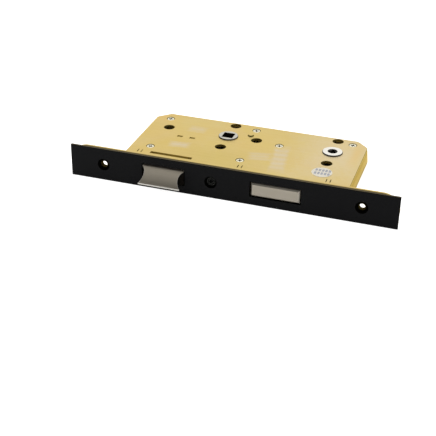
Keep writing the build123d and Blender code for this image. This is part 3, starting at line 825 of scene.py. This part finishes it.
BLACK_STEEL = PowderCoat(
    name="black_oxide",
    tone=(0.002, 0.002, 0.002),
    cloud_tone=(0.0027, 0.0027, 0.0027),
    roughness=0.45,
    gloss=0.08,
    # Painted highlight: a wide light rim along the screw's edges, laid through the edge mask.
    wear_and_highlight_tone=(0.14, 0.14, 0.125),
    wear_and_highlight_width=0.5 * MM,
    wear_and_highlight_share=0.9,
)
NICKEL = RolledMetal(
    name="brushed_nickel",
    tone=(0.575, 0.52, 0.42),
    cloud_tone=(0.63, 0.575, 0.475),
    roughness=0.38,
    grain=Grain.ALONG_FOREND,
    relief_depth=0.006 * MM,
)
NICKEL_WITH_PAINTED_CHAMFERS = replace(
    NICKEL,
    name="nickel_with_painted_chamfer_light",
    skins=(
        # Painted shade on the top chamfer, painted highlights on the side chamfers and ends.
        FaceSkin(axis=Way.UP_AND_OUT, tone=(0.34, 0.31, 0.255), roughness=0.42, low=0.9, high=0.97),
        FaceSkin(axis=Way.ACROSS, tone=(0.74, 0.68, 0.57), roughness=0.36, low=0.5, high=0.65),
    ),
)
WAISTED_NICKEL = replace(
    NICKEL,
    name="nickel_with_painted_end_shade",
    # Painted shade and highlights: a darker copy of the nickel, with wide light rims along its edges.
    wear_and_highlight_width=0.8 * MM,
    wear_and_highlight_share=0.9,
    tone=(0.49, 0.44, 0.355),
    cloud_tone=(0.54, 0.49, 0.40),
    skins=(
        # Painted shade: the waisted ends are near black.
        FaceSkin(axis=Way.ACROSS, tone=(0.012, 0.010, 0.008), roughness=0.6, low=0.15, high=0.4),
        # Painted highlight: the flat nose and the back are pale.
        FaceSkin(axis=Way.INWARD, tone=(0.86, 0.83, 0.77), roughness=0.4, low=0.97, high=0.995),
    ),
)
ZINC = RolledMetal(
    name="tumbled_zinc",
    tone=(0.60, 0.58, 0.505),
    cloud_tone=(0.68, 0.66, 0.58),
    roughness=0.28,
    cloud_scale=160.0,
    grain_scale=1400.0,
    # Painted shade: the faces that do not look up, the ring's side and the square hole's walls, are near
    # black.
    skins=(FaceSkin(axis=Way.UP, tone=(0.07, 0.065, 0.06), roughness=0.5, on_others=True),),
)
LIT_ZINC = replace(
    ZINC,
    name="lit_zinc_copy",
    # Painted light: a brighter, whiter copy of the follower zinc, with the same painted dark sides.
    tone=(1.0, 0.97, 0.89),
    cloud_tone=(0.96, 0.93, 0.84),
    roughness=0.24,
)
BRIGHT_STEEL = RolledMetal(
    name="plated_steel",
    tone=(0.82, 0.80, 0.74),
    cloud_tone=(0.88, 0.86, 0.80),
    roughness=0.24,
    cloud_scale=300.0,
)
SCREW_STEEL = RolledMetal(
    name="plated_screw_steel",
    tone=(0.98, 0.94, 0.76),
    cloud_tone=(0.95, 0.89, 0.68),
    wear_and_highlight_tone=(0.98, 0.95, 0.82),
    roughness=0.28,
    cloud_scale=300.0,
    # Painted shade: the faces that do not look up, the cross recess and the head's sloping sides, are near
    # black.
    skins=(FaceSkin(axis=Way.UP, tone=(0.035, 0.03, 0.02), roughness=0.6, on_others=True),),
)
SPRING_STEEL = RolledMetal(
    name="oiled_spring_wire",
    tone=(0.36, 0.37, 0.39),
    cloud_tone=(0.46, 0.46, 0.46),
    roughness=0.30,
    cloud_scale=220.0,
)
PAPER = LabelPaper(
    name="label_paper",
    tone=(0.91, 0.86, 0.74),
    cloud_tone=(0.8463, 0.7998, 0.6882),
    roughness=0.62,
    gloss=0.35,
    printed=tuple(
        PrintedField(
            centre=(STICKER_CENTRE[0], STICKER_CENTRE[1] + offset),
            size=mm(11.6, 5.0),
            bars=5,
        )
        for offset in mm(-2.7, 2.1)
    ),
)


@dataclass(kw_only=True)
class NodePiece:
    """A piece made by its own geometry node tree, with an input for its finish and for each size."""

    name: str
    finish: Finish
    points: list[Vector] = field(default_factory=list)
    kinds: ClassVar[dict[type, str]] = {
        int: "NodeSocketInt",
        float: "NodeSocketFloat",
        Vector: "NodeSocketVector",
        Material: "NodeSocketMaterial",
    }

    def __post_init__(self) -> None:
        """Start the tree and make its inputs."""
        sizes = vars(self) | {"finish": self.finish.material()}
        self.tree = bpy.data.node_groups.new(self.name, "GeometryNodeTree")
        for side in ("INPUT", "OUTPUT"):
            self.tree.interface.new_socket(name="Geometry", in_out=side, socket_type="NodeSocketGeometry")
        self.values: dict[str, object] = {}
        for size, value in sizes.items():
            kind = self.kinds.get(type(value))
            if kind:
                name = size.replace("_", " ").title()
                socket = self.tree.interface.new_socket(name=name, in_out="INPUT", socket_type=kind)
                self.values[socket.identifier] = value
        self.desk = NodeDesk(self.tree)
        self.given = self.desk.add("NodeGroupInput").outputs

    def bake(self, shape: Socket) -> Object:
        """End the tree, run it on the points and keep the result as a plain mesh.

        Args:
            shape: Socket of the finished geometry.

        Returns:
            The piece.
        """
        whole = self.desk.out("GeometryNodeRealizeInstances", {0: shape})
        wires = {"Geometry": whole, "Material": self.given["Finish"]}
        dressed = self.desk.out("GeometryNodeSetMaterial", wires)
        self.desk.add("NodeGroupOutput", {0: dressed})
        seed_mesh = bpy.data.meshes.new(self.name)
        seed_mesh.from_pydata(self.points, [], [])
        piece = bpy.data.objects.new(self.name, seed_mesh)
        bpy.context.scene.collection.objects.link(piece)
        modifier = piece.modifiers.new(self.name, "NODES")
        modifier.node_group = self.tree
        for key, value in self.values.items():
            modifier[key] = value
        evaluated = piece.evaluated_get(bpy.context.evaluated_depsgraph_get())
        mesh = bpy.data.meshes.new_from_object(evaluated)
        piece.modifiers.clear()
        piece.data = mesh
        bpy.data.meshes.remove(seed_mesh)
        return piece


@dataclass(kw_only=True)
class CoilSpring(NodePiece):
    """A compression spring along Y, or a length of one, with its end turns closed or not."""

    start: Vector
    length: float
    radius: float
    wire: float
    turns: float
    closed_front: float = 1.0
    closed_back: float = 1.0
    steps_per_turn: int = 28
    wire_sides: int = 12
    finish: Finish = SPRING_STEEL

    def build(self) -> Object:
        """Wind the wire along a helix whose closed turns lie close.

        Returns:
            The spring's mesh object.
        """
        desk, given = self.desk, self.given
        line = desk.out("GeometryNodeCurvePrimitiveLine")
        steps = desk.math("MULTIPLY_ADD", given["Turns"], given["Steps Per Turn"], 1.0)
        spun = desk.out("GeometryNodeResampleCurve", {"Curve": line, "Count": steps})
        along = desk.add("GeometryNodeSplineParameter").outputs["Factor"]
        angle = desk.math("MULTIPLY", desk.math("MULTIPLY", along, given["Turns"]), 2 * pi)
        closed = desk.math("MULTIPLY", given["Wire"], given["Turns"])
        spare = desk.math("SUBTRACT", desk.math("SUBTRACT", given["Length"], given["Wire"]), closed)
        opening = desk.math("DIVIDE", given["Closed Front"], given["Turns"])
        closing = desk.math("DIVIDE", given["Closed Back"], given["Turns"])
        open_span = desk.math("SUBTRACT", desk.math("SUBTRACT", 1.0, opening), closing)
        opened = desk.math("DIVIDE", desk.math("SUBTRACT", along, opening), open_span, clamp=True)
        rise = desk.math("MULTIPLY_ADD", opened, spare, desk.math("MULTIPLY", along, closed))
        half_wire = desk.math("MULTIPLY", given["Wire"], 0.5)
        rise = desk.math("ADD", half_wire, rise)
        across = desk.math("MULTIPLY", desk.math("COSINE", angle), given["Radius"])
        up = desk.math("MULTIPLY", desk.math("SINE", angle), given["Radius"])
        turned = desk.out("ShaderNodeCombineXYZ", {0: across, 1: rise, 2: up})
        wires = {"Geometry": spun, "Position": desk.vector("ADD", turned, given["Start"])[0]}
        helix = desk.out("GeometryNodeSetPosition", wires)
        wires = {"Resolution": given["Wire Sides"], "Radius": half_wire}
        section = desk.out("GeometryNodeCurvePrimitiveCircle", wires)
        wires = {"Curve": helix, "Profile Curve": section, "Fill Caps": True}
        return self.bake(desk.out("GeometryNodeCurveToMesh", wires))

    def fit(self, body: Body, node: str, joint: str, seat: float, keep: float) -> None:
        """Wind the spring, put it on its body and hide the plain solid that it stands for.

        Args:
            body: What the spring rides on.
            node: The plain solid that it stands for.
            joint: Not used.
            seat: Not used.
            keep: Not used.
        """
        spring = self.build()
        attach(spring, body.value)
        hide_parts(node)
        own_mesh(spring)
        LOG.info("spring: %s", spring.name)


@dataclass(kw_only=True)
class CoverScrews(NodePiece):
    """Countersunk cross-recessed screws, all of one form, each turned its own way."""

    head: float
    shank: float = 2.4 * MM
    length: float = 7.0 * MM
    cross: float = 3.2 * MM
    cross_width: float = 0.9 * MM
    cross_depth: float = 1.7 * MM
    cross_tip: float = 0.2 * MM
    cross_over: float = 1.25
    rim: float = 0.12 * MM
    turn_range: float = radians(22.0)
    turn_seed: int = 7
    sides: int = 40
    finish: Finish = SCREW_STEEL

    def build(self) -> Object:
        """Make one screw and set it in every place.

        Returns:
            The screws' mesh object.
        """
        desk, given = self.desk, self.given
        half_head = desk.math("MULTIPLY", given["Head"], 0.5)
        half_shank = desk.math("MULTIPLY", given["Shank"], 0.5)
        cone = desk.math("SUBTRACT", half_head, half_shank)
        rim_radius = desk.math("SUBTRACT", half_head, given["Rim"])
        stem_length = desk.math("SUBTRACT", given["Length"], cone)
        taper_depth = desk.math("SUBTRACT", cone, given["Rim"])
        solids = [
            self.frustum(rim_radius, half_head, given["Rim"], given["Rim"]),
            self.frustum(half_head, half_shank, taper_depth, cone),
            self.frustum(half_shank, half_shank, stem_length, given["Length"]),
        ]
        body = desk.out("GeometryNodeMeshBoolean", {"Mesh": solids}, operation="UNION", solver="EXACT")
        wires = {"Mesh 1": body, "Mesh 2": self.recess()}
        cut = desk.out("GeometryNodeMeshBoolean", wires, operation="DIFFERENCE")
        most = desk.out("ShaderNodeCombineXYZ", {2: given["Turn Range"]})
        least = desk.vector("MULTIPLY", most, (-1.0, -1.0, -1.0))[0]
        wires = {"Min": least, "Max": most, "Seed": given["Turn Seed"]}
        turn = desk.out("FunctionNodeRandomValue", wires, data_type="FLOAT_VECTOR")
        wires = {"Points": given["Geometry"], "Instance": cut, "Rotation": turn}
        return self.bake(desk.out("GeometryNodeInstanceOnPoints", wires))

    def frustum(self, top: Socket, bottom: Socket, depth: Socket, sink: Socket) -> Socket:
        """Make a round frustum whose base lies below the head's face.

        Args:
            top: Upper radius.
            bottom: Lower radius.
            depth: Height.
            sink: How far the base lies below the face.

        Returns:
            The mesh's socket.
        """
        wires = {"Vertices": self.given["Sides"], "Radius Top": top, "Radius Bottom": bottom, "Depth": depth}
        mesh = self.desk.out("GeometryNodeMeshCone", wires)
        down = self.desk.out("ShaderNodeCombineXYZ", {2: self.desk.math("MULTIPLY", sink, -1.0)})
        return self.desk.out("GeometryNodeTransform", {"Geometry": mesh, "Translation": down})

    def recess(self) -> Socket:
        """Make the tapered cross that is cut out of the head, taller than its depth to clear the face.

        Returns:
            The mesh's socket.
        """
        desk, given = self.desk, self.given
        over = desk.math("MULTIPLY", given["Cross"], given["Cross Over"])
        reach = desk.math("MULTIPLY", over, 0.5 * 2**0.5)
        slim = desk.math("DIVIDE", given["Cross Width"], given["Cross"])
        depth = desk.math("MULTIPLY", given["Cross Depth"], given["Cross Over"])
        sunk = desk.math("MULTIPLY", given["Cross Depth"], -1.0)
        down = desk.out("ShaderNodeCombineXYZ", {2: sunk})
        wires = {"Vertices": 4, "Radius Top": reach, "Radius Bottom": given["Cross Tip"], "Depth": depth}
        spike = desk.out("GeometryNodeMeshCone", wires)
        eighth = {"Geometry": spike, "Rotation": (0.0, 0.0, pi / 4)}
        square = desk.out("GeometryNodeTransform", eighth)
        arms = []
        for across in ({0: 1.0, 1: slim, 2: 1.0}, {0: slim, 1: 1.0, 2: 1.0}):
            scale = desk.out("ShaderNodeCombineXYZ", across)
            wires = {"Geometry": square, "Translation": down, "Scale": scale}
            arms.append(desk.out("GeometryNodeTransform", wires))
        return desk.out("GeometryNodeMeshBoolean", {"Mesh": arms}, operation="UNION", solver="EXACT")


class SubAssembly:
    """Pieces of the lock that belong together."""

    finishes: ClassVar[tuple[tuple[Finish, tuple[str, ...]], ...]] = ()

    def build(self) -> None:
        """Make the pieces that stand for plain solids, where there are any."""

    def dress(self) -> None:
        """Give the other solids their finishes."""
        for finish, nodes in self.finishes:
            finish.dress(*nodes)
            LOG.info("%s: %s", finish.name, ", ".join(nodes))


@dataclass
class Forend(SubAssembly):
    """The black outer forend on its gold inner forend, and the screw that joins them."""

    finishes = (
        (BLACK, ("outer_forend",)),
        (FOREND_GOLD, ("inner_forend",)),
        (BLACK_STEEL, ("forend_screw",)),
    )


@dataclass
class Case(SubAssembly):
    """The tray and its cover, with the posts, pins, screws and label that belong to them."""

    screw_head: float = 5.4 * MM
    finishes = (
        (TRAY_GOLD, ("case_tray",)),
        (SHADED_GUIDE_GOLD, ("latch_guide",)),
        (COVER_GOLD, ("cover_plate",)),
        (BRIGHT_STEEL, ("cover_posts", "deadbolt_guide_pin", "detent_posts")),
        (SPRING_STEEL, ("detent_spring",)),
        (PAPER, ("inspection_sticker",)),
    )

    def screw_places(self) -> list[Vector]:
        """Find where the cover's screws sit.

        Returns:
            The middle of each head's face.
        """
        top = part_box("cover_screws")[1].z
        heads: list[list[Vector]] = []
        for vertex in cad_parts["cover_screws"].data.vertices:
            spot = Vector((vertex.co.x, vertex.co.y, top))
            for head in heads:
                if (head[0] - spot).length < 2 * self.screw_head:
                    head.append(spot)
                    break
            else:
                heads.append([spot])
        lows = [Vector(map(min, zip(*head))) for head in heads]
        highs = [Vector(map(max, zip(*head))) for head in heads]
        return [(low + high) / 2 for low, high in zip(lows, highs)]

    def build(self) -> None:
        """Make the screws."""
        screws = CoverScrews(name="cross_screws", points=self.screw_places(), head=self.screw_head).build()
        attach(screws, Body.CASE.value)
        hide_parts("cover_screws")
        LOG.info("screws: %s", screws.name)


@dataclass
class LatchWork(SubAssembly):
    """The sprung latch and the carriage that draws it in."""

    wire: float = 1.0 * MM
    turns: float = 8.0
    travel: float = 10.0 * MM
    finishes = (
        (WAISTED_NICKEL, ("latch_bolt",)),
        (BRIGHT_STEEL, ("latch_stem", "stem_washer", "latch_carriage")),
        (SPRING_STEEL, ("stem_clip",)),
    )

    def build(self) -> None:
        """Wind the latch spring in two halves, the front one on the carriage and the back one on the case."""
        low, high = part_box("latch_spring")
        middle = (low + high) / 2
        half = high.y - middle.y
        for name, front, closed_front, body, joint, seat in (
            ("latch_coil_front", low.y, 1.0, Body.CARRIAGE, "latch_push", middle.y),
            ("latch_coil_back", middle.y - self.wire / 2, 0.0, Body.CASE, "handle_turn", high.y),
        ):
            spring = CoilSpring(
                name=name,
                start=Vector((middle.x, front, middle.z)),
                length=half + self.wire / 2,
                radius=(high.x - low.x - self.wire) / 2,
                wire=self.wire,
                turns=self.turns / 2,
                closed_front=closed_front,
                closed_back=1.0 - closed_front,
            )
            spring.fit(body, "latch_spring", joint, seat, keep=(half - self.travel) / half)


@dataclass
class HandleWork(SubAssembly):
    """The handle's follower and its return spring."""

    wire: float = 1.0 * MM
    turns: float = 9.0
    travel: float = 8.2 * MM
    finishes = ((ZINC, ("handle_follower",)),)

    def build(self) -> None:
        """Wind the return spring."""
        low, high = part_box("follower_spring")
        middle = (low + high) / 2
        length = high.y - low.y
        spring = CoilSpring(
            name="return_coil",
            start=Vector((middle.x, low.y, middle.z)),
            length=length,
            radius=(high.x - low.x - self.wire) / 2,
            wire=self.wire,
            turns=self.turns,
        )
        keep = (length - self.travel) / length
        spring.fit(Body.CASE, "follower_spring", "handle_turn", low.y, keep)


@dataclass
class DeadboltWork(SubAssembly):
    """The deadbolt, its tail and the follower that throws it."""

    finishes = (
        (NICKEL_WITH_PAINTED_CHAMFERS, ("deadbolt",)),
        (BRIGHT_STEEL, ("deadbolt_tail", "deadbolt_rivets", "crank_pin")),
        (LIT_ZINC, ("turn_follower",)),
    )


def aimed(place: Place, target: Place) -> Matrix:
    """Give the pose of a camera or lamp that looks from a place at a target."""
    turn = (Vector(target) - Vector(place)).to_track_quat("-Z", "Y")
    return Matrix.Translation(place) @ turn.to_matrix().to_4x4()


@dataclass
class Lamp:
    """A square soft lamp that looks at the lock and stays out of reflections."""

    name: str
    place: Place
    size: float
    power: float
    target: Place = (0.0, 0.0, 0.0)

    def hang(self) -> None:
        """Hang the lamp."""
        data = bpy.data.lights.new(self.name, "AREA")
        data.size = self.size
        data.energy = self.power
        lamp = bpy.data.objects.new(self.name, data)
        lamp.matrix_world = aimed(self.place, self.target)
        lamp.visible_glossy = False
        bpy.context.scene.collection.objects.link(lamp)


TOP_LAMP = Lamp("top_lamp", (-0.25, 0.35, 1.0), size=0.9, power=4.0)
LEFT_LAMP = Lamp("left_lamp", (-0.5, -0.3, 0.28), size=0.4, power=0.6)


@dataclass
class Studio:
    """The floor, the lamps, the surroundings and the camera."""

    camera_place: Place = mm(179.35, -591.43, 325.34)
    camera_aim: Place = mm(7.38, -45.17, 0.0)
    camera_roll: float = radians(1.165)
    lens: float = 84.22
    sensor: float = 36.0
    clip_start: float = 0.01
    floor_size: float = 6.0
    floor_tone: Colour = (0.85, 0.85, 0.85)
    floor_roughness: float = 0.9
    floor_glow: float = 0.85
    mirror_glow: float = 0.02
    back_glow: float = 0.15
    glow_seam: float = 10.0 * MM
    case_shade: float = 12.0 * MM
    fill_light: float = 0.55
    mirror_light: float = 0.94
    mirror_dim: float = 0.08
    dim_start: float = -0.1
    dim_side: Place = (-0.26, -0.95, 0.15)

    def build(self) -> None:
        """Set up everything round the lock."""
        self.camera()
        self.floor()
        self.world()
        for lamp in (TOP_LAMP, LEFT_LAMP):
            lamp.hang()
        bpy.context.scene.view_settings.view_transform = "Standard"
        LOG.info("studio: camera, floor, world and lamps")

    def camera(self) -> None:
        """Place the camera."""
        data = bpy.data.cameras.new("camera")
        data.sensor_fit = "HORIZONTAL"
        data.sensor_width = self.sensor
        data.lens = self.lens
        data.clip_start = self.clip_start
        camera = bpy.data.objects.new("camera", data)
        roll = Matrix.Rotation(self.camera_roll, 4, "Z")
        camera.matrix_world = aimed(self.camera_place, self.camera_aim) @ roll
        bpy.context.scene.collection.objects.link(camera)
        bpy.context.scene.camera = camera

    def floor(self) -> None:
        """Lay the floor under the forend's lower edge and the case's back edge, where the lock rests."""
        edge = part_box("inner_forend")
        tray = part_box("case_tray")
        slope = (tray[0].z - edge[0].z) / (tray[1].y - edge[1].y)
        half = self.floor_size / 2
        flat = ((-half, -half), (half, -half), (half, half), (-half, half))
        corners = [(x, y, edge[0].z + slope * (y - edge[1].y)) for x, y in flat]
        mesh = bpy.data.meshes.new("floor")
        mesh.from_pydata(corners, [], [(0, 1, 2, 3)])
        mesh.materials.append(self.floor_material())
        floor = bpy.data.objects.new("floor", mesh)
        bpy.context.scene.collection.objects.link(floor)

    def floor_material(self) -> Material:
        """Make the floor white to the eye, dim in reflections and dark under the case.

        Returns:
            The material.
        """
        made = bpy.data.materials.new("pale_floor")
        desk = NodeDesk.of(made)
        straight, mirrored = self.rays(desk)
        depth = desk.split()[1]
        mirror_glow = desk.spread(depth, -self.glow_seam, self.glow_seam, self.mirror_glow, self.back_glow)
        glow = desk.math("MULTIPLY", straight, self.floor_glow)
        glow = desk.math("MULTIPLY_ADD", mirrored, mirror_glow, glow)
        wires = {
            "Base Color": (*self.floor_tone, 1.0),
            "Roughness": self.floor_roughness,
            "Specular IOR Level": 0.0,
            "Emission Color": (*WHITE, 1.0),
            "Emission Strength": desk.math("MULTIPLY", glow, self.clear_of_case(desk)),
        }
        desk.end("ShaderNodeBsdfPrincipled", wires)
        return made

    def clear_of_case(self, desk: NodeDesk) -> Socket:
        """Tell floor that lies clear of the case from floor under it.

        Args:
            desk: Where the nodes go.

        Returns:
            Socket that is 1 clear of the case and 0 under it.
        """
        low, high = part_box("case_tray")
        split = desk.split()
        clear: object = 0.0
        for axis in (0, 1):
            half = (high[axis] - low[axis]) / 2
            off = desk.math("ABSOLUTE", desk.math("SUBTRACT", split[axis], low[axis] + half))
            clear = desk.math("MAXIMUM", clear, desk.spread(off, half - self.case_shade, half))
        return clear

    @staticmethod
    def rays(desk: NodeDesk) -> tuple[Socket, Socket]:
        """Tell rays that see the surroundings from rays that only light.

        Args:
            desk: Where the nodes go.

        Returns:
            Socket that is 1 for rays that see straight, and socket that is 1 for mirrored ones.
        """
        path = desk.add("ShaderNodeLightPath").outputs
        straight = desk.math("MAXIMUM", path["Is Camera Ray"], path["Is Transmission Ray"])
        return straight, path["Is Glossy Ray"]

    def world(self) -> None:
        """Surround the lock with white, dimmer where it only lights and, in reflections, above the camera."""
        world = bpy.data.worlds.new("studio")
        bpy.context.scene.world = world
        desk = NodeDesk.of(world)
        straight, mirrored = self.rays(desk)
        side = Vector(self.dim_side).normalized()
        towards = desk.vector("DOT_PRODUCT", desk.place("Generated"), side)["Value"]
        mirror = desk.spread(towards, self.dim_start, 1.0, self.mirror_light, self.mirror_dim)
        lit = desk.blend(mirrored, self.fill_light, mirror)
        wires = {"Color": (*WHITE, 1.0), "Strength": desk.blend(straight, lit, 1.0)}
        desk.end("ShaderNodeBackground", wires, "ShaderNodeOutputWorld")


def main() -> None:
    """Build and dress the lock, then set up the studio."""
    logging.basicConfig(level=logging.INFO, format="%(name)s: %(message)s")
    for part in (Forend(), Case(), LatchWork(), HandleWork(), DeadboltWork()):
        part.build()
        part.dress()
    Studio().build()


if __name__ == "__main__":
    main()
